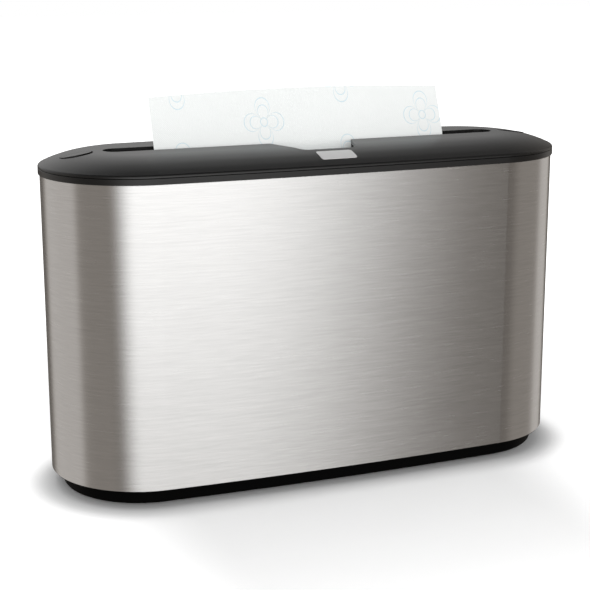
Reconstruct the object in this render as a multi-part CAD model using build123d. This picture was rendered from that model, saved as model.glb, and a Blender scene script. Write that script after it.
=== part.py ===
"""Countertop dispenser for interfolded paper towels.

A brushed steel sleeve is clamped between a black base tray and a black top frame by four tie bolts.
The domed lid lifts off once its two thumb tabs are pressed. Inside, a platform pulled up by two
constant-force strip springs carries the towel stack up to the slot in the lid.

Millimetres. The origin is on the countertop, under the middle of the body. +X is to the right of
someone facing the front, +Y points to the back and +Z points up.
"""

from build123d import *
import math
import os

# Paper towels
towel_width = 186.0
towel_fold = 85.0
stack_play = 2.5
stack_drop = 5.5
stack_fold_round = 1.5
towel_sheet = 0.7
towel_front_offset = 3.5
towel_stack_gap = 0.3
towel_bend_lift = 1.0
towel_bend_radius = 46.0
towel_bend_angle = 40.0

# Body outline: a long oval of four arcs, seen from above, around the towel magazine
end_room = 62.7
side_room = 11.0
side_bow = 2.4
steel_height = 175.0

# Sheet steel sleeve
sheet = 0.8
sleeve_in_rim = 2.5
sleeve_fit = 0.15
seam_gap = 0.4
seam_strip_width = 16.0
seam_strip_sheet = 0.8
seam_strip_gap = 1.0

# Base tray
foot_height = 1.5
plinth_height = 9.4
plinth_inset = 6.2
plinth_taper = 4.0
plinth_round = 1.6
base_floor = 2.5
base_wall = 2.5
lip_height = 0.6
lip_inset = 0.4
ledge_drop = 0.2
collar_height = 14.5

# Rubber feet
foot_radius = 8.0
foot_recess = 1.0
foot_fit = 0.05
foot_end_inset = 32.2
foot_side_inset = 34.0
foot_bevel = 0.5

# Top frame
rim_overhang = 0.9
rim_height = 3.5
rim_edge_round = 0.5
rim_groove_gap = 0.1
frame_wall = 2.2
frame_skirt_depth = 8.5
deck_thickness = 2.0
deck_gap = 1.0

# Lid
parting_gap = 0.25
crown_rise = 7.35
crown_reach = 32.0
lid_wall = 2.2
lid_edge_height = 1.2
lid_edge_round = 1.7
skirt_clearance = 0.4
skirt_wall = 2.0
seat_gap = 0.05

# Towel slot and thumb notch in the lid
slot_y = 0.0
slot_width = 15.0
slot_tab_gap = 6.0
notch_front_width = 33.0
notch_back_width = 52.0
notch_depth = 29.0
notch_corner = 6.0
notch_mouth = 7.0

# Label plate on the lid
label_width = 22.0
label_depth = 10.8
label_front_inset = 7.0
label_corner = 1.6
label_sheet = 0.6
label_proud = 0.2
label_fit = 0.05

# Thumb tabs
tab_end_inset = 20.2
tab_hole_y = -0.5
tab_hole_radius = 9.5
tab_side_gap = 0.6
tab_setback = 1.8
tab_hinge_gap = 0.2
tab_tilt = 3.0
tab_leg_setback = 6.5
tab_leg_width = 8.0
tab_leg_thickness = 1.6
tab_leg_depth = 4.5

# Latch under each tab
finger_width = 12.0
finger_thickness = 1.8
finger_gap = 0.4
finger_depth = 12.5
nose_reach = 1.6
nose_height = 3.0
barb_gap = 0.3
barb_bite = 0.6
barb_height = 2.7
clip_sheet = 1.2
clip_width = 10.0
clip_play = 0.3
clip_drop = 0.5
clip_foot_end = 2.5
cage_wall = 2.0
cage_gap = 1.5
cage_depth = 20.5
cage_front = 15.0
cage_back = 4.0

# Rivets in the latch clips, the spring strips and the spool brackets
rivet_radius = 1.2
rivet_head_radius = 2.2
rivet_head = 0.8
rivet_clearance = 0.05
rivet_depth = 3.0

# Magazine that holds the stack
magazine_wall = 2.0
magazine_gap = 0.5
ear_slot_width = 14.0
ear_slot_bridge = 4.0
sight_slot_width = 5.0
sight_slot_spacing = 50.0
sight_slot_margin = 18.0
magazine_boss = 9.0
magazine_boss_height = 6.0
magazine_boss_inset = 23.0

# Platform under the stack
platform_lift_gap = 20.0
platform_plate = 3.0
platform_play = 0.8
platform_rib = 4.0
platform_rib_width = 2.0
platform_rib_spacing = 30.0
platform_rib_inset = 4.0
ear_width = 11.0
ear_height = 6.0
ear_reach = 4.6

# Constant-force strip springs and their spools
strip_sheet = 0.2
strip_width = 11.0
strip_gap = 0.1
spool_hub_radius = 6.0
spool_coil_radius = 9.0
spool_lip = 1.0
spool_flange = 1.0
spool_side_play = 0.4
spool_head_room = 1.5
spool_hole_radius = 1.1
spool_hole_circle = 4.0
spool_hole_count = 4
coil_fit = 0.05
axle_radius = 2.0
axle_running_clearance = 0.08
axle_seat_clearance = 0.03
axle_head_radius = 3.2
axle_head = 1.2
axle_tip = 1.0
bracket_sheet = 1.5
bracket_reach = 9.0
bracket_top_gap = 0.5
bracket_flange = 6.0
bracket_rivet_drop = 3.0

# Towel guide under the slot
guide_play = 11.0
guide_wall = 2.0
guide_mouth_half_width = 24.0
guide_gap = 0.6
guide_top_gap = 0.3
guide_end_drop = 3.0
guide_flange_length = 14.0
guide_flange_half_width = 21.0
guide_flange_lift = 3.5
guide_flange = 2.0
guide_screw_inset = 5.0

# Screws
screw_radius = 1.4
screw_thread_gap = 0.02
screw_head_radius = 2.7
screw_head = 1.8
screw_clearance = 0.15
screw_slot_width = 0.7
screw_slot_depth = 0.8
screw_proud = 0.6
screw_tip_gap = 0.8
boss_radius = 3.4
boss_cap = 0.9

# Tie bolts
tie_setback = 5.0
tie_side_inset = 20.0
tie_radius = 2.0
tie_head_radius = 3.6
tie_head = 3.0
tie_socket = 1.8
tie_recess = 3.4
tie_clearance = 0.2
tie_tip = 4.0
tie_tip_gap = 2.0
pillar_radius = 5.5
base_pillar_height = 38.5
frame_pillar_length = 34.5
insert_radius = 3.2
insert_length = 12.0
insert_clearance = 0.05

# How far cuts run past the faces that they open, and past the whole body
over = 1.0
beyond = 400.0

# Places that follow from the sizes above, along the length and the depth
magazine_half_x = towel_width / 2 + stack_play
magazine_half_y = towel_fold / 2 + stack_play
magazine_end = magazine_half_x + magazine_wall
magazine_side = magazine_half_y + magazine_wall
body_length = 2 * (magazine_end + end_room)
body_depth = 2 * (magazine_side + side_room)
end_radius = body_depth / 2 - side_bow
frame_inset = sheet + sleeve_fit
skirt_inset = frame_inset + frame_wall + skirt_clearance
tab_x = body_length / 2 - tab_end_inset
tab_radius = tab_hole_radius - tab_side_gap
tab_centre_y = tab_hole_y + tab_setback
tab_leg_front = tab_hole_y - tab_leg_setback
slot_length = 2 * (tab_x - tab_hole_radius - slot_tab_gap)
slot_front = slot_y - slot_width / 2
finger_back = tab_hole_y - tab_hole_radius - finger_gap
finger_front = finger_back - finger_thickness
nose_back = finger_back + nose_reach
leaf_front = tab_leg_front + tab_leg_thickness + clip_play
leaf_back = leaf_front + clip_sheet
clip_end = tab_hole_y + clip_foot_end
clip_rivet_y = (leaf_back + clip_end) / 2
guide_half_length = towel_width / 2 + guide_play
guide_screw_x = guide_half_length + guide_flange_length / 2
guide_screw_y = guide_flange_half_width - guide_screw_inset
deck_opening_x = guide_half_length + guide_wall + deck_gap
deck_opening_y = magazine_side + magazine_gap
tie_x = deck_opening_x + tie_setback
tie_y = body_depth / 2 - tie_side_inset
foot_x = body_length / 2 - foot_end_inset
foot_y = body_depth / 2 - foot_side_inset
magazine_boss_x = magazine_half_x - magazine_boss / 2
magazine_boss_y = magazine_half_y - magazine_boss_inset
ear_end = magazine_end + ear_reach
strip_x = ear_end + strip_gap
spool_x = strip_x + strip_sheet + strip_gap + spool_coil_radius
cheek_inner = strip_width / 2 + spool_side_play + spool_flange + spool_side_play
cheek_outer = cheek_inner + bracket_sheet
bracket_rivet_y = cheek_outer + bracket_flange / 2

# Heights that follow from the sizes above
floor_top = foot_height + base_floor
lip_bottom = foot_height + plinth_height
sleeve_bottom = lip_bottom + lip_height
ledge_top = sleeve_bottom - ledge_drop
collar_top = sleeve_bottom + collar_height
rim_bottom = sleeve_bottom + steel_height
sleeve_top = rim_bottom + sleeve_in_rim
rim_top = rim_bottom + rim_height
deck_top = rim_bottom
deck_bottom = deck_top - deck_thickness
frame_skirt_bottom = deck_top - frame_skirt_depth
lid_bottom = rim_top + parting_gap
lid_edge = lid_bottom + lid_edge_height
lid_top = lid_edge + crown_rise
crown_radius = (crown_reach**2 + crown_rise**2) / (2 * crown_rise)
skirt_bottom = deck_top + seat_gap
tab_leg_bottom = deck_top - tab_leg_depth
finger_bottom = deck_top - finger_depth
barb_bottom = finger_bottom + nose_height + barb_gap
clip_top = deck_top - clip_drop
cage_shelf_top = deck_top - cage_depth
cage_bottom = cage_shelf_top - cage_wall
magazine_top = deck_bottom - magazine_gap
ear_slot_top = magazine_top - ear_slot_bridge
stack_top = deck_top - stack_drop
platform_bottom = floor_top + platform_lift_gap
ear_slot_bottom = platform_bottom - platform_rib
stack_bottom = platform_bottom + platform_plate
ear_bottom = stack_bottom - ear_height
ear_rivet_z = stack_bottom - ear_height / 2
spool_flange_radius = spool_coil_radius + spool_lip
spool_z = deck_bottom - spool_head_room - spool_flange_radius
bracket_bottom = spool_z - bracket_reach
bracket_top = magazine_top - bracket_top_gap
bracket_rivet_z = spool_z - bracket_rivet_drop
guide_bottom = magazine_top + guide_gap
guide_top = lid_top - lid_wall - guide_top_gap
guide_flange_bottom = deck_top + guide_flange_lift
guide_flange_top = guide_flange_bottom + guide_flange
boss_top = lid_top - lid_wall / 2
boss_hole_top = boss_top - boss_cap
base_pillar_top = foot_height + base_pillar_height
frame_pillar_bottom = deck_bottom - frame_pillar_length
insert_top = frame_pillar_bottom + insert_length
tie_end = insert_top + tie_tip
towel_bend_start = lid_top + towel_bend_lift


def box(x0, x1, y0, y1, z0, z1):
    """Block between two corners."""
    return Pos((x0 + x1) / 2, (y0 + y1) / 2, (z0 + z1) / 2) * Box(x1 - x0, y1 - y0, z1 - z0)


def rod(x, y, z0, z1, radius):
    """Upright round bar."""
    return Pos(x, y, (z0 + z1) / 2) * Cylinder(radius, z1 - z0)


def bar_along_y(x, z, y0, y1, radius):
    """Round bar that lies along Y."""
    return Pos(x, (y0 + y1) / 2, z) * Rot(90, 0, 0) * Cylinder(radius, y1 - y0)


def bar_along_x(y, z, x0, x1, radius):
    """Round bar that lies along X."""
    return Pos((x0 + x1) / 2, y, z) * Rot(0, 90, 0) * Cylinder(radius, x1 - x0)


def reach(sign, near, far):
    """Span along X or Y on one side of the middle, in rising order."""
    return sorted((sign * near, sign * far))


def joined(pieces):
    """One shape from a list of pieces."""
    whole = pieces[0]
    for piece in pieces[1:]:
        whole = whole + piece
    return whole


def four(x, y, make, middle=0.0):
    """The same piece at the four corners of a rectangle around (0, middle)."""
    return [make(sx * x, middle + sy * y) for sx in (-1, 1) for sy in (-1, 1)]


def rods(x, y, z0, z1, radius, middle=0.0):
    """Four equal upright bars at the corners of a rectangle around (0, middle)."""
    return joined(four(x, y, lambda at_x, at_y: rod(at_x, at_y, z0, z1, radius), middle))


def outline(inset):
    """Centres and radii of the body's outline, moved inwards by inset."""
    half_length = body_length / 2 - inset
    half_depth = body_depth / 2 - inset
    end = end_radius - inset
    end_x = half_length - end
    side = (end_x**2 + half_depth**2 - end**2) / (2 * (half_depth - end))
    side_y = half_depth - side
    turn = math.degrees(math.atan2(-side_y, end_x))
    return end, end_x, side, side_y, turn


def oval(inset):
    """Face inside the body's outline, moved inwards by inset."""
    end, end_x, side, side_y, turn = outline(inset)
    arcs = [
        CenterArc((end_x, 0), end, -turn, 2 * turn),
        CenterArc((0, side_y), side, turn, 180 - 2 * turn),
        CenterArc((-end_x, 0), end, 180 - turn, 2 * turn),
        CenterArc((0, -side_y), side, 180 + turn, 180 - 2 * turn),
    ]
    return make_face(Curve() + arcs)


def prism(inset, z0, z1):
    """Upright prism on the body's outline, moved inwards by inset."""
    return extrude(Pos(0, 0, z0) * oval(inset), z1 - z0)


def ring(outer_inset, inner_inset, z0, z1):
    """Wall that follows the body's outline."""
    return prism(outer_inset, z0, z1) - prism(inner_inset, z0, z1)


def crown_profile(start_inset, lowest, offset, last_inset, rounded):
    """Half section of the lid's crown as (distance inwards, height), moved outwards by offset."""
    radius = crown_radius + offset
    centre_z = lid_top - crown_radius
    drop = crown_reach - start_inset
    edge_z = centre_z + math.sqrt(radius**2 - drop**2)
    middle_z = centre_z + math.sqrt(radius**2 - (drop / 2) ** 2)
    top = lid_top + offset
    edges = [
        Line((start_inset, lowest), (start_inset, edge_z)),
        ThreePointArc((start_inset, edge_z), (crown_reach - drop / 2, middle_z), (crown_reach, top)),
        Line((crown_reach, top), (last_inset, top)),
        Line((last_inset, top), (last_inset, lowest)),
        Line((last_inset, lowest), (start_inset, lowest)),
    ]
    face = make_face(Curve() + edges)
    if rounded:
        corner = face.vertices().sort_by_distance((start_inset, edge_z))[0]
        face = fillet(corner, lid_edge_round)
    return face


def crown(start_inset, lowest, offset=0.0, rounded=False):
    """Domed solid over the lid's outline, from height lowest to the crown moved up by offset."""
    end, end_x, side, side_y, turn = outline(-rim_overhang)
    tilt = Rot(90, 0, 0)
    ends = []
    for sign in (-1, 1):
        centre = (sign * end_x, 0)
        profile = crown_profile(start_inset, lowest, offset, end, rounded)
        section = Pos(*centre, 0) * tilt * Pos(end, 0) * mirror(profile, Plane.YZ)
        ends.append(revolve(section, Axis((*centre, 0), (0, 0, 1)), 360))
    half = body_depth / 2 + rim_overhang
    profile = crown_profile(start_inset, lowest, offset, half, rounded)
    upright = tilt * Pos(side, 0) * mirror(profile, Plane.YZ)
    start = Pos(0, side_y, 0) * Rot(0, 0, turn) * upright
    back = revolve(start, Axis((0, side_y, 0), (0, 0, 1)), 180 - 2 * turn)
    back = back & box(-beyond, beyond, 0, beyond, lowest, lid_top + over)
    front = mirror(back, Plane.XZ)
    return joined([back, front, *ends]).clean()


def notch_face():
    """Thumb notch in front of the slot, seen from above."""
    back = slot_front + notch_mouth
    front = slot_front - notch_depth
    points = [
        (-notch_back_width / 2, back),
        (-notch_back_width / 2, slot_front),
        (-notch_front_width / 2, front),
        (notch_front_width / 2, front),
        (notch_back_width / 2, slot_front),
        (notch_back_width / 2, back),
    ]
    face = make_face(Polyline(*points, close=True))
    corners = face.vertices().filter_by(lambda corner: corner.Y < slot_front - over)
    return fillet(corners, notch_corner)


def tab_hole(x, z0, z1):
    """Opening in the lid around a thumb tab: a half disc with short straight sides."""
    back = tab_centre_y + tab_hinge_gap
    disc = rod(x, tab_hole_y, z0, z1, tab_hole_radius)
    sides = box(x - tab_hole_radius, x + tab_hole_radius, tab_hole_y, back, z0, z1)
    return (disc & box(-beyond, beyond, -beyond, tab_hole_y, z0, z1)) + sides


def label_prism(margin, z0, z1):
    """Upright prism over the label's outline, larger by margin all round."""
    y = -body_depth / 2 - rim_overhang + label_front_inset + label_depth / 2
    face = RectangleRounded(label_width + 2 * margin, label_depth + 2 * margin, label_corner)
    return extrude(Pos(0, y, z0) * face, z1 - z0)


def make_lid_shell():
    """Lid before its openings: crowned shell with a locating skirt."""
    inner = skirt_inset + skirt_wall + rim_overhang
    shell = crown(0.0, lid_bottom, rounded=True)
    shell = shell + prism(skirt_inset, skirt_bottom, lid_bottom + over)
    return shell - crown(inner, skirt_bottom - over, -lid_wall)


def make_finger(x):
    """Catch finger that hangs from the lid in front of a tab, with its nose towards the back."""
    half = finger_width / 2
    stem = box(x - half, x + half, finger_front, finger_back, finger_bottom, lid_top)
    nose = box(x - half, x + half, finger_front, nose_back, finger_bottom, finger_bottom + nose_height)
    return stem + nose


def make_lid_cover(shell, under):
    """Black domed lid with the slot, thumb notch, tab openings, fingers and screw bosses."""
    low, high = deck_top, lid_top + over
    lid = shell
    for x in (-tab_x, tab_x):
        lid = lid + (make_finger(x) & under)
    lid = lid + rods(guide_screw_x, guide_screw_y, guide_flange_top, boss_top, boss_radius, slot_y)
    slot = Pos(0, slot_y, low) * SlotOverall(slot_length, slot_width)
    lid = lid - extrude(slot, high - low)
    lid = lid - extrude(Pos(0, 0, low) * notch_face(), high - low)
    for x in (-tab_x, tab_x):
        lid = lid - tab_hole(x, low, high)
    lid = lid - rods(guide_screw_x, guide_screw_y, guide_flange_top, boss_hole_top, screw_radius, slot_y)
    return lid - (label_prism(0.0, lid_bottom, high) - crown(0.0, deck_top, -label_sheet))


def make_label():
    """Plain silver label plate that follows the crown and sits in its recess."""
    inside = crown(0.0, deck_top, -label_sheet)
    raised = crown(0.0, deck_top, label_proud)
    return (label_prism(-label_fit, lid_bottom, lid_top + over) & raised) - inside


def make_tab(x, shell, under):
    """Thumb tab cut out of the lid and tilted up a little, with the leg that pushes the latch clip."""
    back = tab_centre_y
    high = lid_top + over
    front = tab_hole_y - tab_hole_radius - over
    piece = shell & box(x - tab_hole_radius, x + tab_hole_radius, front, back + over, deck_top, high)
    piece = piece.rotate(Axis((0, back, lid_top), (1, 0, 0)), -tab_tilt)
    half_disc = rod(x, back, deck_top, high, tab_radius)
    half_disc = half_disc & box(-beyond, beyond, -beyond, back, deck_top, high)
    half = tab_leg_width / 2
    leg_back = tab_leg_front + tab_leg_thickness
    leg = box(x - half, x + half, tab_leg_front, leg_back, tab_leg_bottom, lid_top)
    return (piece & half_disc) + (leg & under)


def make_clip(x):
    """Spring steel latch clip: a foot on the cage's shelf and an upright leaf with a barb."""
    half = clip_width / 2
    foot_top = cage_shelf_top + clip_sheet
    foot = box(x - half, x + half, leaf_front, clip_end, cage_shelf_top, foot_top)
    leaf = box(x - half, x + half, leaf_front, leaf_back, cage_shelf_top, clip_top)
    barb_front = nose_back - barb_bite
    slope = [
        (leaf_front, barb_bottom),
        (barb_front, barb_bottom),
        (barb_front, barb_bottom + barb_height / 3),
        (leaf_front, barb_bottom + barb_height),
    ]
    side = make_face(Polyline(*slope, close=True))
    barb = extrude(Plane.YZ.offset(x - half) * side, clip_width)
    hole = rod(x, clip_rivet_y, cage_shelf_top - over, foot_top + over, rivet_radius + rivet_clearance)
    return foot + leaf + barb - hole


def make_clip_rivet(x):
    """Rivet through a latch clip and the shelf."""
    low, high = cage_bottom, cage_shelf_top + clip_sheet
    shank = rod(x, clip_rivet_y, low - rivet_head, high + rivet_head, rivet_radius)
    lower_head = rod(x, clip_rivet_y, low - rivet_head, low, rivet_head_radius)
    upper_head = rod(x, clip_rivet_y, high, high + rivet_head, rivet_head_radius)
    return joined([shank, lower_head, upper_head])


def make_cage(x):
    """Cage under the top frame's deck that carries a latch clip."""
    inner = finger_width / 2 + cage_gap
    outer = inner + cage_wall
    front, back = tab_hole_y - cage_front, tab_hole_y + cage_back
    pieces = [box(x - outer, x + outer, tab_leg_front, back, cage_bottom, cage_shelf_top)]
    for sign in (-1, 1):
        wall = reach(sign, inner, outer)
        pieces.append(box(x + wall[0], x + wall[1], front, back, cage_bottom, deck_bottom + over))
    return joined(pieces)


def make_top_frame():
    """Black frame that caps the sleeve, carries the lid and holds the latch cages."""
    inner = frame_inset + frame_wall
    frame = prism(-rim_overhang, rim_bottom, rim_top)
    top_edges = frame.faces().sort_by(Axis.Z)[-1].edges()
    frame = fillet(top_edges, rim_edge_round)
    frame = frame + prism(frame_inset, frame_skirt_bottom, rim_bottom)
    frame = frame - ring(-rim_groove_gap, frame_inset, rim_bottom, sleeve_top + rim_groove_gap)
    frame = frame - prism(inner, deck_top, rim_top)
    frame = frame - prism(inner, frame_skirt_bottom, deck_bottom)
    frame = frame + rods(tie_x, tie_y, frame_pillar_bottom, deck_bottom + over, pillar_radius)
    half = finger_width / 2 + cage_gap
    window_front = finger_front - cage_gap
    window_back = tab_hole_y + cage_back - cage_wall
    for x in (-tab_x, tab_x):
        frame = frame + make_cage(x)
        window = box(x - half, x + half, window_front, window_back, deck_bottom - over, deck_top + over)
        frame = frame - window
        frame = frame - rod(x, clip_rivet_y, cage_bottom, cage_shelf_top, rivet_radius + rivet_clearance)
    frame = frame - box(
        -deck_opening_x, deck_opening_x, -deck_opening_y, deck_opening_y, deck_bottom - over, deck_top + over
    )
    frame = frame - rods(tie_x, tie_y, frame_pillar_bottom, insert_top, insert_radius + insert_clearance)
    return frame - rods(tie_x, tie_y, insert_top, tie_end + tie_tip_gap, tie_radius + tie_clearance)


def make_base_tray():
    """Black base: tapered plinth, lip under the sleeve, locating collar and pillars."""
    plinth = extrude(Pos(0, 0, lip_bottom) * oval(plinth_inset), -plinth_height, taper=plinth_taper)
    low_edges = plinth.faces().sort_by(Axis.Z)[0].edges()
    base = fillet(low_edges, plinth_round)
    base = base + prism(lip_inset, lip_bottom, sleeve_bottom)
    base = base + prism(frame_inset, sleeve_bottom, collar_top)
    base = base - prism(frame_inset + base_wall, ledge_top, collar_top)
    base = base - prism(plinth_inset + base_wall, floor_top, sleeve_bottom)
    base = base + rods(tie_x, tie_y, floor_top - over, base_pillar_top, pillar_radius)
    under = foot_height - over
    screw_hole = screw_radius + screw_clearance
    head_hole = screw_head_radius + screw_clearance
    screw_sink = foot_height + screw_head - screw_proud
    base = base - rods(tie_x, tie_y, under, base_pillar_top, tie_radius + tie_clearance)
    base = base - rods(tie_x, tie_y, under, foot_height + tie_recess, tie_head_radius + tie_clearance)
    base = base - rods(foot_x, foot_y, under, foot_height + foot_recess, foot_radius)
    base = base - rods(magazine_boss_x, magazine_boss_y, under, floor_top + over, screw_hole)
    return base - rods(magazine_boss_x, magazine_boss_y, under, screw_sink, head_hole)


def make_foot(x, y):
    """Round rubber foot, glued into its recess."""
    foot = rod(x, y, 0, foot_height + foot_recess, foot_radius - foot_fit)
    return chamfer(foot.faces().sort_by(Axis.Z)[0].edges(), foot_bevel)


def make_sleeve():
    """Brushed steel sleeve, rolled from one sheet, with its butt seam at the back."""
    tube = ring(0, sheet, sleeve_bottom, sleeve_top)
    return tube - box(-seam_gap / 2, seam_gap / 2, 0, beyond, sleeve_bottom, sleeve_top)


def make_seam_strip():
    """Steel strip welded inside the sleeve behind the seam."""
    half = seam_strip_width / 2
    low, high = collar_top + seam_strip_gap, frame_skirt_bottom - seam_strip_gap
    return ring(sheet, sheet + seam_strip_sheet, low, high) & box(-half, half, 0, beyond, low, high)


def make_magazine():
    """Moulded liner that keeps the stack square, with a slot at each end for the platform's ear."""
    body = box(-magazine_end, magazine_end, -magazine_side, magazine_side, floor_top, magazine_top)
    body = body - box(
        -magazine_half_x, magazine_half_x, -magazine_half_y, magazine_half_y, floor_top, magazine_top
    )
    half_slot = ear_slot_width / 2
    body = body - box(-beyond, beyond, -half_slot, half_slot, ear_slot_bottom, ear_slot_top)
    half_sight = sight_slot_width / 2
    sight_low, sight_high = ear_slot_bottom + sight_slot_margin, ear_slot_top - sight_slot_margin
    for x in (-sight_slot_spacing, 0, sight_slot_spacing):
        body = body - box(x - half_sight, x + half_sight, -beyond, beyond, sight_low, sight_high)
    half = magazine_boss / 2
    boss_high = floor_top + magazine_boss_height

    def boss(x, y):
        return box(x - half, x + half, y - half, y + half, floor_top, boss_high)

    body = body + joined(four(magazine_boss_x, magazine_boss_y, boss))
    body = body - rods(magazine_boss_x, magazine_boss_y, floor_top, boss_high, screw_radius)
    for sign in (-1, 1):
        wall = reach(sign, magazine_half_x, magazine_end)
        for y in (-bracket_rivet_y, bracket_rivet_y):
            body = body - bar_along_x(y, bracket_rivet_z, *wall, rivet_radius + rivet_clearance)
    return body


def make_platform():
    """Ribbed plate under the stack, with an ear through each end slot of the magazine."""
    half_x = magazine_half_x - platform_play
    half_y = magazine_half_y - platform_play
    half_rib = platform_rib_width / 2
    rib_end = half_y - platform_rib_inset
    plate = box(-half_x, half_x, -half_y, half_y, platform_bottom, stack_bottom)
    count = int(half_x // platform_rib_spacing)
    for i in range(-count, count + 1):
        x = i * platform_rib_spacing
        plate = plate + box(x - half_rib, x + half_rib, -rib_end, rib_end, ear_slot_bottom, platform_bottom)
    half_ear = ear_width / 2
    plate = plate + box(-ear_end, ear_end, -half_ear, half_ear, ear_bottom, stack_bottom)
    for sign in (-1, 1):
        hole = reach(sign, ear_end - rivet_depth, ear_end + over)
        plate = plate - bar_along_x(0, ear_rivet_z, *hole, rivet_radius + rivet_clearance)
    return plate


def make_strip(sign):
    """Straight run of a strip spring, from its spool down to the platform's ear."""
    half = strip_width / 2
    strip = box(*reach(sign, strip_x, strip_x + strip_sheet), -half, half, ear_bottom, spool_z)
    hole = reach(sign, strip_x - over, strip_x + strip_sheet + over)
    return strip - bar_along_x(0, ear_rivet_z, *hole, rivet_radius + rivet_clearance)


def make_strip_rivet(sign):
    """Rivet that fixes a strip spring to the platform's ear."""
    head_start = strip_x + strip_sheet
    head_end = head_start + rivet_head
    shank = reach(sign, ear_end - rivet_depth + rivet_clearance, head_end)
    head = reach(sign, head_start, head_end)
    rivet = bar_along_x(0, ear_rivet_z, *shank, rivet_radius)
    return rivet + bar_along_x(0, ear_rivet_z, *head, rivet_head_radius)


def make_spool(sign):
    """Plastic spool with two flanges that the strip spring winds on."""
    x = sign * spool_x
    half = strip_width / 2 + spool_side_play
    far = half + spool_flange
    spool = bar_along_y(x, spool_z, -far, far, spool_hub_radius)
    for side in (-1, 1):
        spool = spool + bar_along_y(x, spool_z, *reach(side, half, far), spool_flange_radius)
    spool = spool - bar_along_y(x, spool_z, -far, far, axle_radius + axle_running_clearance)
    for i in range(spool_hole_count):
        angle = 2 * math.pi * (i + 0.5) / spool_hole_count
        hole_x = x + spool_hole_circle * math.cos(angle)
        hole_z = spool_z + spool_hole_circle * math.sin(angle)
        spool = spool - bar_along_y(hole_x, hole_z, -far, far, spool_hole_radius)
    return spool


def make_coil(sign):
    """The wound part of a strip spring, as one close ring on its spool."""
    x = sign * spool_x
    half = strip_width / 2
    coil = bar_along_y(x, spool_z, -half, half, spool_coil_radius)
    return coil - bar_along_y(x, spool_z, -half, half, spool_hub_radius + coil_fit)


def make_bracket(sign):
    """Bent steel bracket on the magazine's end wall, whose two cheeks hold a spool's axle."""
    plate = reach(sign, magazine_end, magazine_end + bracket_sheet)
    cheek_span = reach(sign, magazine_end, spool_x + axle_head_radius)
    pieces = [box(*plate, -cheek_outer, cheek_outer, ear_slot_top, bracket_top)]
    for side in (-1, 1):
        cheek = reach(side, cheek_inner, cheek_outer)
        flange = reach(side, cheek_inner, cheek_outer + bracket_flange)
        pieces.append(box(*cheek_span, *cheek, bracket_bottom, bracket_top))
        pieces.append(box(*plate, *flange, bracket_bottom, bracket_top))
    bracket = joined(pieces)
    seat = axle_radius + axle_seat_clearance
    bracket = bracket - bar_along_y(sign * spool_x, spool_z, -cheek_outer, cheek_outer, seat)
    for y in (-bracket_rivet_y, bracket_rivet_y):
        bracket = bracket - bar_along_x(y, bracket_rivet_z, *plate, rivet_radius + rivet_clearance)
    return bracket


def make_bracket_rivet(sign, y):
    """Rivet through a spool bracket and the magazine's end wall, with its flat end flush inside."""
    outside = magazine_end + bracket_sheet
    shank = reach(sign, magazine_half_x, outside + rivet_head)
    head = reach(sign, outside, outside + rivet_head)
    rivet = bar_along_x(y, bracket_rivet_z, *shank, rivet_radius)
    return rivet + bar_along_x(y, bracket_rivet_z, *head, rivet_head_radius)


def make_axle(sign):
    """Headed steel pin that a spool turns on, seated in its bracket's cheeks."""
    x = sign * spool_x
    front = -cheek_outer - axle_head
    pin = bar_along_y(x, spool_z, front, cheek_outer + axle_tip, axle_radius)
    return pin + bar_along_y(x, spool_z, front, -cheek_outer, axle_head_radius)


def make_guide():
    """Funnel under the slot that leads the towel up to it, with a screw flange at each end."""
    throat = slot_width / 2
    mouth = guide_mouth_half_width
    front = [
        (-mouth, guide_bottom),
        (-mouth + guide_wall, guide_bottom),
        (-throat, guide_top),
        (-throat - guide_wall, guide_top),
    ]
    back = [(-y, z) for y, z in front]
    pieces = []
    for points in (front, back):
        side = make_face(Polyline(*[(y + slot_y, z) for y, z in points], close=True))
        pieces.append(extrude(Plane.YZ.offset(-guide_half_length) * side, 2 * guide_half_length))
    low, high = slot_y - guide_flange_half_width, slot_y + guide_flange_half_width
    for sign in (-1, 1):
        plate = reach(sign, guide_half_length, guide_half_length + guide_wall)
        flange = reach(sign, guide_half_length, guide_half_length + guide_flange_length)
        pieces.append(box(*plate, low, high, guide_flange_bottom - guide_end_drop, guide_flange_top))
        pieces.append(box(*flange, low, high, guide_flange_bottom, guide_flange_top))
    guide = joined(pieces)
    guide = guide - extrude(Pos(0, 0, guide_bottom) * notch_face(), guide_top - guide_bottom)
    hole = screw_radius + screw_clearance
    return guide - rods(guide_screw_x, guide_screw_y, guide_flange_bottom, guide_flange_top, hole, slot_y)


def make_screw(x, y, head_bottom, tip):
    """Pan-head screw that points up, with a slot in its head."""
    head_top = head_bottom + screw_head
    half = screw_slot_width / 2
    slot_top = head_bottom + screw_slot_depth
    head = rod(x, y, head_bottom, head_top, screw_head_radius)
    shank = rod(x, y, head_top, tip, screw_radius - screw_thread_gap)
    slot = box(x - screw_head_radius, x + screw_head_radius, y - half, y + half, head_bottom, slot_top)
    return head + shank - slot


def make_guide_screw(x, y):
    """Screw up through the guide's flange into a boss of the lid."""
    return make_screw(x, y, guide_flange_bottom - screw_head, boss_hole_top - screw_tip_gap)


def make_magazine_screw(x, y):
    """Screw up through the base's floor into a foot of the magazine."""
    tip = floor_top + magazine_boss_height - screw_tip_gap
    return make_screw(x, y, foot_height - screw_proud, tip)


def make_tie_bolt(x, y):
    """Long bolt from under the base up into the top frame, with a hexagon socket."""
    head_top = foot_height + tie_recess
    head_bottom = head_top - tie_head
    head = rod(x, y, head_bottom, head_top, tie_head_radius)
    shank = rod(x, y, head_top, tie_end, tie_radius - insert_clearance)
    socket = extrude(Pos(x, y, head_bottom) * RegularPolygon(tie_socket, 6), tie_socket)
    return head + shank - socket


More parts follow.
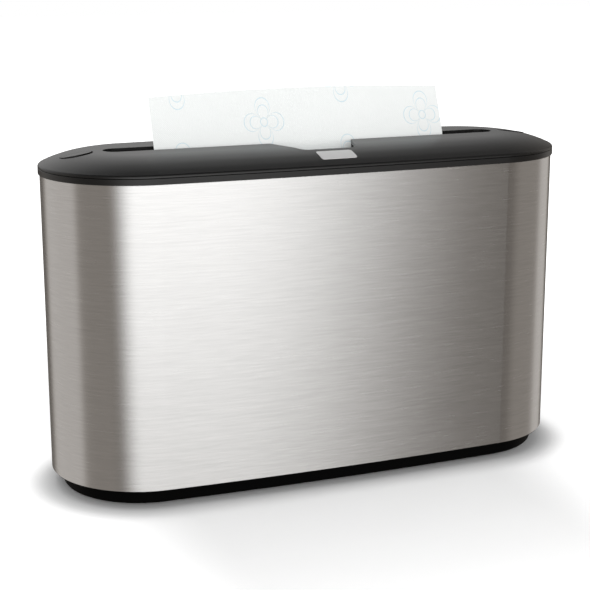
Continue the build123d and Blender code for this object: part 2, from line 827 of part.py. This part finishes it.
def make_insert(x, y):
    """Knurled brass insert in a pillar of the top frame."""
    insert = rod(x, y, frame_pillar_bottom, insert_top, insert_radius)
    return insert - rod(x, y, frame_pillar_bottom, insert_top, tie_radius)


def make_stack():
    """The folded towels as one block, rounded along its two folds."""
    half_x, half_y = towel_width / 2, towel_fold / 2
    stack = box(-half_x, half_x, -half_y, half_y, stack_bottom, stack_top)
    return fillet(stack.edges().filter_by(Axis.X), stack_fold_round)


def make_leading_towel():
    """The towel that stands in the slot: straight through the guide, then bent towards the back."""
    y = -towel_front_offset
    half = towel_sheet / 2
    low = stack_top + towel_stack_gap
    bend = math.radians(towel_bend_angle)
    centre_y = y + towel_bend_radius

    def on_arc(radius, angle):
        return (centre_y - radius * math.cos(angle), towel_bend_start + radius * math.sin(angle))

    front = towel_bend_radius + half
    rear = towel_bend_radius - half
    edges = [
        Line((y - half, low), (y - half, towel_bend_start)),
        ThreePointArc(on_arc(front, 0), on_arc(front, bend / 2), on_arc(front, bend)),
        Line(on_arc(front, bend), on_arc(rear, bend)),
        ThreePointArc(on_arc(rear, bend), on_arc(rear, bend / 2), on_arc(rear, 0)),
        Line((y + half, towel_bend_start), (y + half, low)),
        Line((y + half, low), (y - half, low)),
    ]
    face = make_face(Curve() + edges)
    return extrude(Plane.YZ.offset(-towel_width / 2) * face, towel_width)


def build():
    """Every node of the dispenser by name."""
    shell = make_lid_shell()
    under = crown(0.0, finger_bottom - over, -lid_wall / 2)
    rivets = [make_bracket_rivet(sign, side * bracket_rivet_y) for sign in (-1, 1) for side in (-1, 1)]
    nodes = {
        "base_tray": make_base_tray(),
        "steel_sleeve": make_sleeve(),
        "seam_strip": make_seam_strip(),
        "top_frame": make_top_frame(),
        "towel_magazine": make_magazine(),
        "towel_platform": make_platform(),
        "lid_cover": make_lid_cover(shell, under),
        "label_plate": make_label(),
        "towel_guide": make_guide(),
        "towel_stack": make_stack(),
        "leading_towel": make_leading_towel(),
        "tie_bolts": Compound(children=four(tie_x, tie_y, make_tie_bolt)),
        "brass_inserts": Compound(children=four(tie_x, tie_y, make_insert)),
        "guide_screws": Compound(children=four(guide_screw_x, guide_screw_y, make_guide_screw, slot_y)),
        "magazine_screws": Compound(children=four(magazine_boss_x, magazine_boss_y, make_magazine_screw)),
        "clip_rivets": Compound(children=[make_clip_rivet(-tab_x), make_clip_rivet(tab_x)]),
        "strip_rivets": Compound(children=[make_strip_rivet(-1), make_strip_rivet(1)]),
        "bracket_rivets": Compound(children=rivets),
    }
    for y_name, y in (("front", -foot_y), ("rear", foot_y)):
        for x_name, x in (("left", -foot_x), ("right", foot_x)):
            nodes[f"{y_name}_{x_name}_foot"] = make_foot(x, y)
    for name, sign in (("left", -1), ("right", 1)):
        nodes[f"{name}_thumb_tab"] = make_tab(sign * tab_x, shell, under)
        nodes[f"{name}_latch_clip"] = make_clip(sign * tab_x)
        nodes[f"{name}_spool"] = make_spool(sign)
        nodes[f"{name}_spring_coil"] = make_coil(sign)
        nodes[f"{name}_spring_strip"] = make_strip(sign)
        nodes[f"{name}_spool_axle"] = make_axle(sign)
        nodes[f"{name}_spool_bracket"] = make_bracket(sign)
    return nodes


if __name__ == "__main__":
    os.makedirs("parts", exist_ok=True)
    for name, shape in build().items():
        export_step(shape, f"parts/{name}.step")
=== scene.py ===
"""Countertop dispenser for folded paper towels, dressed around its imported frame.

The sections come in the order in which the dispenser is put together: camera and studio, base,
works inside, steel sleeve, lid, and the towels last. All sizes are in metres.
"""

import math

import bpy
from mathutils import Matrix, Vector


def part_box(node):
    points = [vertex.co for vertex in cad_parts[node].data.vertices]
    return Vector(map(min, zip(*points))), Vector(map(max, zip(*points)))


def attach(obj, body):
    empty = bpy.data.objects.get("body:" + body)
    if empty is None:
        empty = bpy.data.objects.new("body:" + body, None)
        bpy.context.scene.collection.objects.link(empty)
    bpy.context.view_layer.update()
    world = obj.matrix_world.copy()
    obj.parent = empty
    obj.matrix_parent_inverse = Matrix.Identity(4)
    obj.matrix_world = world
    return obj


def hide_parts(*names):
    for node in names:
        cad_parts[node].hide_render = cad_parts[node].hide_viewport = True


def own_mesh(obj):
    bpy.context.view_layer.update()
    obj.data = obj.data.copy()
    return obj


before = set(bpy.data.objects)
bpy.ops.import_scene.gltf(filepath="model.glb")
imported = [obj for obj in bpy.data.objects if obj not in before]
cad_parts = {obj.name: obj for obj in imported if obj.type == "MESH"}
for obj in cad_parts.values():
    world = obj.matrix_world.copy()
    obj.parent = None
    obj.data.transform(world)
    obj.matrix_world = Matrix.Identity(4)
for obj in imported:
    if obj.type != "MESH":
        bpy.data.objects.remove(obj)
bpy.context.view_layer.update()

# Camera
# The dispenser is seen from its left and a little above, through a long lens, as on a product page.
# The angles and the distance come from fitting the oval outline of the steel sleeve.
azimuth = math.radians(-21.583)
elevation = math.radians(13.585)
roll = math.radians(-0.131)
camera_place = Vector((-0.3211, -0.7932, 0.3100))
sensor_width = 36.0
lens = 87.40

backward = Vector((
    math.sin(azimuth) * math.cos(elevation),
    -math.cos(azimuth) * math.cos(elevation),
    math.sin(elevation),
))
level = Vector((math.cos(azimuth), math.sin(azimuth), 0))
upward = backward.cross(level)
to_right = level * math.cos(roll) + upward * math.sin(roll)
to_top = upward * math.cos(roll) - level * math.sin(roll)
camera = bpy.data.objects.new("camera", bpy.data.cameras.new("camera"))
camera.data.lens = lens
camera.data.sensor_width = sensor_width
camera.data.clip_start = 0.01
turned = Matrix((to_right, to_top, backward)).transposed().to_4x4()
camera.matrix_world = Matrix.Translation(camera_place) @ turned
bpy.context.scene.collection.objects.link(camera)
bpy.context.scene.camera = camera
bpy.context.scene.view_settings.view_transform = "Standard"


# Studio
# A white floor whose painted light, for the camera only, fades it out of sight and leaves a painted
# shadow round the base, a soft lamp above and one in front, and a light tent that only shiny pieces
# mirror: a white panel in front, grey ones at the sides and dark gaps between.
class Value:
    """A number that varies over a surface."""

    def __init__(self, finish, socket):
        self.finish = finish
        self.socket = socket

    def maths(self, operation, *others):
        inputs = {f"Value_{i:03d}" if i else "Value": v for i, v in enumerate((self, *others))}
        return self.finish.add("ShaderNodeMath", {"operation": operation}, inputs, "Value")

    def __add__(self, other):
        return self.maths("ADD", other)

    def __mul__(self, other):
        return self.maths("MULTIPLY", other)

    def __sub__(self, other):
        return self.maths("SUBTRACT", other)

    def __truediv__(self, other):
        return self.maths("DIVIDE", other)

    def __pow__(self, other):
        return self.maths("POWER", other)

    def __mod__(self, other):
        return self.maths("FLOORED_MODULO", other)

    def __abs__(self):
        return self.maths("ABSOLUTE")

    def __neg__(self):
        return self * -1

    def __rsub__(self, other):
        return -self + other

    __radd__ = __add__
    __rmul__ = __mul__


class Finish:
    """A material whose surface is one shader."""

    def __init__(self, name, **settings):
        self.material = bpy.data.materials.new(name)
        self.material.use_nodes = True
        self.tree = self.material.node_tree
        self.tree.nodes.clear()
        self.shader = self.tree.nodes.new("ShaderNodeBsdfPrincipled")
        output = self.tree.nodes.new("ShaderNodeOutputMaterial")
        self.tree.links.new(self.shader.outputs["BSDF"], output.inputs["Surface"])
        self.set(**settings)

    def connect(self, socket, value):
        if isinstance(value, Value):
            self.tree.links.new(value.socket, socket)
        else:
            socket.default_value = value

    def set(self, **settings):
        """Sets the shader's sockets: base_color=..., roughness=... and so on."""
        for name, value in settings.items():
            words = name.replace("_", " ").title().replace("Ior", "IOR")
            self.connect(self.shader.inputs[words], value)

    def add(self, kind, settings, inputs, output):
        """One node: its settings first, then its sockets. Gives the named output."""
        node = self.tree.nodes.new(kind)
        for name, value in settings.items():
            setattr(node, name, value)
        for key, value in inputs.items():
            socket = next(s for s in node.inputs if key in (s.identifier, s.name))
            self.connect(socket, value)
        return Value(self, next(s for s in node.outputs if output in (s.identifier, s.name)))

    def place(self):
        """Where a point of the piece is, as X, Y and Z in metres."""
        where = self.add("ShaderNodeTexCoord", {}, {}, "Object")
        split = self.add("ShaderNodeSeparateXYZ", {}, {"Vector": where}, "X")
        outputs = split.socket.node.outputs
        return [Value(self, outputs[axis]) for axis in "XYZ"]

    def angle(self, along, across):
        """Angle of a direction in degrees, with 0 towards across."""
        return along.maths("ARCTAN2", across) * math.degrees(1)

    def noise(self, x, y, z, detail=3.0):
        """Soft random pattern; one unit of x, y or z is about one blotch."""
        where = self.add("ShaderNodeCombineXYZ", {}, {"X": x, "Y": y, "Z": z}, "Vector")
        return self.add("ShaderNodeTexNoise", {}, {"Vector": where, "Scale": 1.0, "Detail": detail}, "Fac")

    def between(self, low, high, value):
        """0 below low, 1 above high, smooth between them."""
        inputs = {"Value": value, "From Min": low, "From Max": high}
        return self.add("ShaderNodeMapRange", {"interpolation_type": "SMOOTHSTEP"}, inputs, "Result")

    def mix(self, share, first, second):
        """Colour from first to second as share goes from 0 to 1."""
        inputs = {"Factor_Float": share, "A_Color": first, "B_Color": second}
        return self.add("ShaderNodeMix", {"data_type": "RGBA"}, inputs, "Result_Color")

    def bump(self, height, depth):
        """Relief of the given depth, in metres, on the shader's normal."""
        inputs = {"Height": height, "Distance": depth, "Strength": 1.0}
        normal = self.add("ShaderNodeBump", {}, inputs, "Normal")
        self.tree.links.new(normal.socket, self.shader.inputs["Normal"])


def grey(level):
    """Neutral colour of even brightness."""
    return (level, level, level, 1.0)


floor_size = 12.0
footprint_end = 0.1046
footprint_radius = 0.0556
# Painted light: the floor glows for the camera only, not at all under the base and more with distance from
# it, so the floor fades to white and the darkening round the base is partly painted shadow.
near_painted_light = 0.18
end_painted_light = 0.34
painted_shadow_reach = 0.020
end_start, end_full = 0.09, 0.16
far_painted_light = 0.7
far_start, far_end = 0.05, 0.40
floor_finish = Finish("floor_with_painted_light", base_color=grey(0.8), roughness=1.0, specular_ior_level=0.0)
x, y = floor_finish.place()[:2]
past_end = (abs(x) - footprint_end).maths("MAXIMUM", 0.0)
away = (past_end * past_end + y * y) ** 0.5 - footprint_radius
# Camera rays only: this painted light is shaped by the distance from the base's footprint.
seen = floor_finish.add("ShaderNodeLightPath", {}, {}, "Is Camera Ray")
near_end = floor_finish.between(end_start, end_full, abs(x))
painted_light_near_base = floor_finish.between(0.0, painted_shadow_reach, away) * (near_end * end_painted_light + near_painted_light)
painted_floor_light = (painted_light_near_base + floor_finish.between(far_start, far_end, away) * far_painted_light) * seen
floor_finish.set(emission_color=floor_finish.mix(painted_floor_light, grey(0.0), grey(1.0)), emission_strength=1.0)
bpy.ops.mesh.primitive_plane_add(size=floor_size)
floor = bpy.context.object
floor.name = "floor"
floor.data.materials.append(floor_finish.material)
floor.visible_glossy = False

room_light = 0.5
world = bpy.data.worlds.new("studio")
bpy.context.scene.world = world
world.use_nodes = True
world.cycles_visibility.glossy = False
background = world.node_tree.nodes["Background"]
rays = world.node_tree.nodes.new("ShaderNodeLightPath")
strength = world.node_tree.nodes.new("ShaderNodeMapRange")
strength.inputs["To Min"].default_value = room_light
strength.inputs["To Max"].default_value = 1.0
world.node_tree.links.new(rays.outputs["Is Camera Ray"], strength.inputs["Value"])
world.node_tree.links.new(strength.outputs["Result"], background.inputs["Strength"])
background.inputs["Color"].default_value = grey(1.0)

tent_radius = 30.0
front_panel = 1.27
side_panel = 0.46
gap_level = 0.125
left_gap_level = 0.155
right_gap_level = 0.17
# Each span is its start, full, fading and end in degrees from the front, positive to the right
front_span = (-49, -18, 14, 33)
left_panel_span = (-163, -148, -100, -88)
left_gap_span = (-170, -150, -58, -40)
right_panel_span = (88, 102, 121, 127)
right_gap_span = (34, 58, 122, 130)
climb = 3.0
widening = 0.5
view_drop = 0.255
lowest_lean, highest_lean = -0.3, 0.25
left_back_start, left_back_full = 118, 156
right_back_start, right_back_full = 126, 164
back_height = 8
ceiling_start, ceiling_full = 30, 60
warm_tint = (1.14, 1.0, 0.87, 1)
white_tint = (1.005, 1.0, 0.99, 1)
back_wall = 0.88
ceiling = 0.12
bpy.ops.mesh.primitive_uv_sphere_add(segments=64, ring_count=32, radius=tent_radius)
tent = bpy.context.object
tent.name = "light_tent"
tent_finish = Finish("light_tent", base_color=grey(0.0), roughness=1.0, specular_ior_level=0.0)
x, y, z = tent_finish.place()
around = tent_finish.angle(x, -y)
height = tent_finish.angle(z, (x * x + y * y) ** 0.5)
slope = height * math.radians(1) + view_drop
lean = slope.maths("MAXIMUM", lowest_lean).maths("MINIMUM", highest_lean)
spread = around * (1 - lean * widening)


def panel(start, full, fading, end, where=around):
    """Share of light from a panel that spans these angles around, with soft edges."""
    return tent_finish.between(start, full, where) * (1 - tent_finish.between(fading, end, where))


panels = (
    panel(*front_span, spread) * front_panel * (lean * climb + 1)
    + panel(*left_panel_span) * (side_panel - left_gap_level)
    + panel(*left_gap_span) * left_gap_level
    + panel(*right_panel_span) * (side_panel - right_gap_level)
    + panel(*right_gap_span) * right_gap_level
    + gap_level
)
turned_back = (
    tent_finish.between(left_back_start, left_back_full, -around)
    + tent_finish.between(right_back_start, right_back_full, around)
)
behind = turned_back * tent_finish.between(0, back_height, height)
overhead = tent_finish.between(ceiling_start, ceiling_full, height)
walls = panels * (1 - behind) + behind * back_wall
light = walls * (1 - overhead) + overhead * ceiling
neutral = (light + behind + overhead).maths("MINIMUM", 1.0)
tint = tent_finish.mix(neutral, warm_tint, white_tint)
scaled = {"Vector": tint, "Scale": light}
lit = tent_finish.add("ShaderNodeVectorMath", {"operation": "SCALE"}, scaled, "Vector")
tent_finish.set(emission_color=lit, emission_strength=1.0)
tent.data.materials.append(tent_finish.material)
for unseen in ("camera", "diffuse", "shadow", "transmission", "volume_scatter"):
    setattr(tent, f"visible_{unseen}", False)


lamp_aim = Vector((0, 0, 0.1))


def lamp(name, place, width, height, power):
    """Rectangular soft lamp that faces the middle of the dispenser."""
    light = bpy.data.lights.new(name, "AREA")
    light.shape = "RECTANGLE"
    light.size = width
    light.size_y = height
    light.energy = power
    obj = bpy.data.objects.new(name, light)
    obj.location = place
    obj.rotation_euler = (Vector(place) - lamp_aim).to_track_quat("Z", "Y").to_euler()
    obj.visible_glossy = False
    bpy.context.scene.collection.objects.link(obj)


lamp("overhead_softbox", place=(-0.35, -0.1, 1.6), width=1.4, height=1.2, power=8.5)
lamp("front_softbox", place=(-0.5, -1.9, 0.5), width=1.2, height=0.8, power=20.0)


def grained(name, per_metre, dark, light, smooth, rough, relief, detail=1.0, **settings):
    """Finish with an even grain that shifts its colour and roughness and has a slight relief."""
    finish = Finish(name, **settings)
    x, y, z = finish.place()
    grain = finish.noise(x * per_metre, y * per_metre, z * per_metre, detail)
    finish.set(base_color=finish.mix(grain, dark, light), roughness=grain * (rough - smooth) + smooth)
    finish.bump(grain, relief)
    return finish


def paint(finish, *nodes):
    """Gives nodes of the frame their finish."""
    for node in nodes:
        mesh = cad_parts[node].data
        mesh.materials.clear()
        mesh.materials.append(finish.material)


def new_piece(name, points, faces, finish, body, slot, *replaced):
    """Mesh piece that rides on a body in the place of nodes of the frame."""
    mesh = bpy.data.meshes.new(name)
    mesh.from_pydata(points, [], faces)
    mesh.update()
    mesh.materials.append(finish.material)
    piece = bpy.data.objects.new(name, mesh)
    bpy.context.scene.collection.objects.link(piece)
    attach(piece, body)
    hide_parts(*replaced)
    return piece


# Base tray
# Moulded in black plastic and left dull, set back under the steel so that the sleeve seems to
# float. Its collar holds the sleeve's lower edge.
base_finish = grained(
    "dull_black", per_metre=1800, dark=grey(0.0008), light=grey(0.0016), smooth=0.55, rough=0.65,
    relief=0.00002, specular_ior_level=0.03,
)
paint(base_finish, "base_tray")

# Feet
# Four round pads of black rubber, glued into the base.
rubber = grained(
    "black_rubber", per_metre=2200, dark=grey(0.01), light=grey(0.018), smooth=0.65, rough=0.85,
    relief=0.00003, detail=2.0, specular_ior_level=0.3,
)
paint(rubber, "front_left_foot", "front_right_foot", "rear_left_foot", "rear_right_foot")

# Magazine, platform and guide
# Grey moulded plastic with a fine spark-eroded grain. The magazine is screwed to the base, the
# platform slides up inside it, and the guide is screwed under the lid.
liner = grained(
    "grey_plastic", per_metre=1500, dark=grey(0.05), light=grey(0.065), smooth=0.4, rough=0.55,
    relief=0.00002, specular_ior_level=0.4,
)
paint(liner, "towel_magazine", "towel_platform", "towel_guide")

# Fasteners and brackets
# Screws, rivets, bolts, axles, brackets and the strip behind the seam are zinc-plated steel, with
# the cloudy look of plating. The inserts in the pillars are brass.
plated = grained(
    "zinc_plate", per_metre=400, dark=grey(0.55), light=grey(0.68), smooth=0.25, rough=0.45,
    relief=0.00001, detail=3.0, metallic=1.0,
)
paint(
    plated, "seam_strip", "tie_bolts", "guide_screws", "magazine_screws", "clip_rivets", "strip_rivets",
    "bracket_rivets", "left_spool_bracket", "right_spool_bracket", "left_spool_axle", "right_spool_axle",
)

brass = grained(
    "brass", per_metre=600, dark=(0.60, 0.42, 0.16, 1), light=(0.72, 0.53, 0.24, 1), smooth=0.3, rough=0.5,
    relief=0.00001, detail=3.0, metallic=1.0,
)
paint(brass, "brass_inserts")

# Spools
# White moulded plastic, each with two flanges that keep its strip spring in line.
white_plastic = grained(
    "white_plastic", per_metre=1500, dark=grey(0.62), light=grey(0.68), smooth=0.4, rough=0.5, relief=0.00001,
)
paint(white_plastic, "left_spool", "right_spool")

# Springs
# Thin polished spring steel. Each strip runs from its spool down to the platform's ear and is wound
# on its spool as a close ring whose turns show on the sides.
spring = Finish("spring_steel", metallic=1.0)
x, y, z = spring.place()
cloud = spring.noise(x * 60, y * 900, z * 60)
dull_spring, bright_spring = (0.46, 0.46, 0.48, 1), (0.60, 0.60, 0.62, 1)
spring.set(base_color=spring.mix(cloud, dull_spring, bright_spring), roughness=cloud * 0.15 + 0.2)
spring.bump(cloud, 0.000005)
paint(spring, "left_latch_clip", "right_latch_clip")

low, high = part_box("right_spring_coil")
axis_x, axis_z = (low.x + high.x) / 2, (low.z + high.z) / 2
turn_pitch = 0.0004
# The darker bands between the turns are painted shade; the bump gives the turns their relief.
painted_shade_between_turns = (0.22, 0.22, 0.23, 1)
wound = Finish("wound_spring", metallic=1.0)
x, z = wound.place()[::2]
across, up = abs(x) - axis_x, z - axis_z
turns = (across * across + up * up) ** 0.5 / turn_pitch
ridge = abs(turns % 1 - 0.5)
wound.set(base_color=wound.mix(ridge, painted_shade_between_turns, (0.62, 0.62, 0.64, 1)), roughness=ridge * 0.2 + 0.25)
wound.bump(ridge, 0.00008)
paint(wound, "left_spring_coil", "right_spring_coil")

box_faces = [(0, 1, 3, 2), (4, 6, 7, 5), (0, 4, 5, 1), (2, 3, 7, 6), (0, 2, 6, 4), (1, 5, 7, 3)]
for side in ("left", "right"):
    node = f"{side}_spring_strip"
    low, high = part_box(node)
    corners = [(x, y, z) for x in (low.x, high.x) for y in (low.y, high.y) for z in (low.z, high.z)]
    strip = new_piece(f"{side}_strip", corners, box_faces, spring, "root", "spring_steel", node)
    top = (low.x, 0, high.z)
    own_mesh(strip)

# Steel sleeve
# Rolled from one stainless sheet, 0.8 mm thick, and brushed along its length. The grooves are short,
# fine and uneven, so the steel mirrors the studio sharply along them and smears it up and down.
sleeve_finish = Finish("brushed_steel", metallic=1.0, anisotropic=0.9, anisotropic_rotation=0.25)
x, y, z = sleeve_finish.place()
streaks = sleeve_finish.noise(x * 45, y * 45, z * 1300, 2.0)
hairs = sleeve_finish.noise(x * 130, y * 130, z * 3600, 2.0)
brushing = streaks * 0.55 + hairs * 0.45
sleeve_finish.set(
    base_color=sleeve_finish.mix(brushing, grey(0.52), grey(0.72)), roughness=brushing * 0.08 + 0.22
)
sleeve_finish.bump(brushing, 0.000006)
paint(sleeve_finish, "steel_sleeve")

# Top frame, lid and thumb tabs
# Moulded in one black plastic with a fine satin grain that turns grey where it mirrors the white
# room at a low angle. The tabs are cut from the lid and tilt up a little.
satin = grained(
    "satin_black", per_metre=6000, dark=grey(0.002), light=grey(0.004), smooth=0.34, rough=0.38,
    relief=0.0000006, specular_ior_level=0.42,
)
paint(satin, "top_frame", "lid_cover", "left_thumb_tab", "right_thumb_tab")

# Label plate
# A thin plate of satin aluminium, glued into a recess on the lid's front slope and left plain.
silver = Finish("silver_plate", metallic=0.5)
x, y, z = silver.place()
line = silver.noise(x * 300, y * 6000, z * 300)
silver.set(base_color=silver.mix(line, grey(0.62), grey(0.72)), roughness=line * 0.15 + 0.35)
silver.bump(line, 0.000005)
paint(silver, "label_plate")

# Leading towel
# One soft white tissue, embossed all over, with a pale blue line print of four-petalled rosettes. It
# stands up through the guide and the slot, a little left of the middle, and leans to the back.
column_pitch = 0.052
row_pitch = 0.042
half_drop = 0.021
petal_sizes = (0.0125, 0.0088)
eye_radius = 0.0022
line_width = 0.0004
emboss_waves = 5200
paper_white = (0.87, 0.89, 0.88, 1)
print_blue = (0.58, 0.74, 0.81, 1)
tissue = Finish("tissue", roughness=0.95, specular_ior_level=0.1)
x, y, z = tissue.place()
up = z - y * 0.25
column = x / column_pitch
drop = (column - column % 1) * half_drop
across = (column % 1 - 0.5) * column_pitch
along = ((up + drop) / row_pitch % 1 - 0.5) * row_pitch
radius = (across * across + along * along) ** 0.5
lobes = abs((tissue.angle(along, across) * math.radians(2)).maths("COSINE")) ** 0.45
lines = 1 - tissue.between(line_width / 4, line_width, abs(radius - eye_radius))
for size in petal_sizes:
    lines = lines + (1 - tissue.between(line_width / 4, line_width, abs(radius - lobes * size)))
lines = lines.maths("MINIMUM", 1.0)
blotch = tissue.noise(x * 900, y * 900, z * 900)
tissue.set(base_color=tissue.mix(lines * (blotch * 0.8 + 0.35), paper_white, print_blue))
dimple = (x * emboss_waves).maths("SINE") * (up * emboss_waves).maths("SINE")
crease = tissue.noise(x * 60, y * 60, up * 220)
tissue.bump(dimple * 0.25 + crease + blotch * 0.4 - lines * 0.4, 0.00012)

low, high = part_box("leading_towel")
lid_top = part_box("lid_cover")[1].z
towel_left_shift = 0.0026
towel_arch = 0.0023
edge_margin = 0.0004
top_gap = 0.0002
half_thickness = 0.00035
lean_start = lid_top - 0.005
lean = 0.40
lean_soft = 0.004
broad_ripple, fine_ripple = 0.0007, 0.00025
columns, rows = 96, 40
stand_y = low.y + half_thickness
points = []
for row in range(rows + 1):
    for col in range(columns + 1):
        share = 2 * col / columns - 1
        x = share * (high.x - edge_margin) - towel_left_shift
        top = high.z - towel_arch * share**2 - top_gap
        z = low.z + (top - low.z) * row / rows
        over = max(z - lean_start, 0.0)
        y = stand_y + lean * (math.hypot(over, lean_soft) - lean_soft)
        ripple = math.sin(31 * x + 1.1) * broad_ripple + math.sin(83 * x + 60 * z) * fine_ripple
        points.append((x, y + ripple * over / (high.z - lean_start), z))
stride = columns + 1
faces = [
    (row * stride + col, row * stride + col + 1, (row + 1) * stride + col + 1, (row + 1) * stride + col)
    for row in range(rows) for col in range(columns)
]
towel = new_piece("standing_towel", points, faces, tissue, "lid", "paper", "leading_towel")
towel.data.shade_smooth()

# Towel stack
# Interfolded towels in one block, each a soft layer with rounded folds at the front and the back and
# cut edges at the ends.
low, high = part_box("towel_stack")
layers = 90
pitch = (high.z - low.z) / layers
layer_share = 0.96
fold_round = 0.0005
uneven_fold, uneven_cut = 0.0004, 0.0003
points, faces = [], []
for layer in range(layers):
    inward = uneven_fold * (1.5 + math.sin(layer * 2.4) + math.sin(layer * 5.3) / 2)
    end = high.x - uneven_cut * (1 + math.sin(layer * 3.7))
    depth = high.y - inward
    bottom = low.z + layer * pitch
    top = bottom + pitch * layer_share
    ring = [
        (-depth + fold_round, bottom), (depth - fold_round, bottom), (depth, (bottom + top) / 2),
        (depth - fold_round, top), (-depth + fold_round, top), (-depth, (bottom + top) / 2),
    ]
    first = len(points)
    count = len(ring)
    points += [(sign * end, y, z) for sign in (-1, 1) for y, z in ring]
    faces.append(tuple(first + i for i in reversed(range(count))))
    faces.append(tuple(first + count + i for i in range(count)))
    for i in range(count):
        j = (i + 1) % count
        faces.append((first + i, first + j, first + count + j, first + count + i))
stack = new_piece("folded_towels", points, faces, tissue, "root", "paper", "towel_stack")
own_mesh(stack)
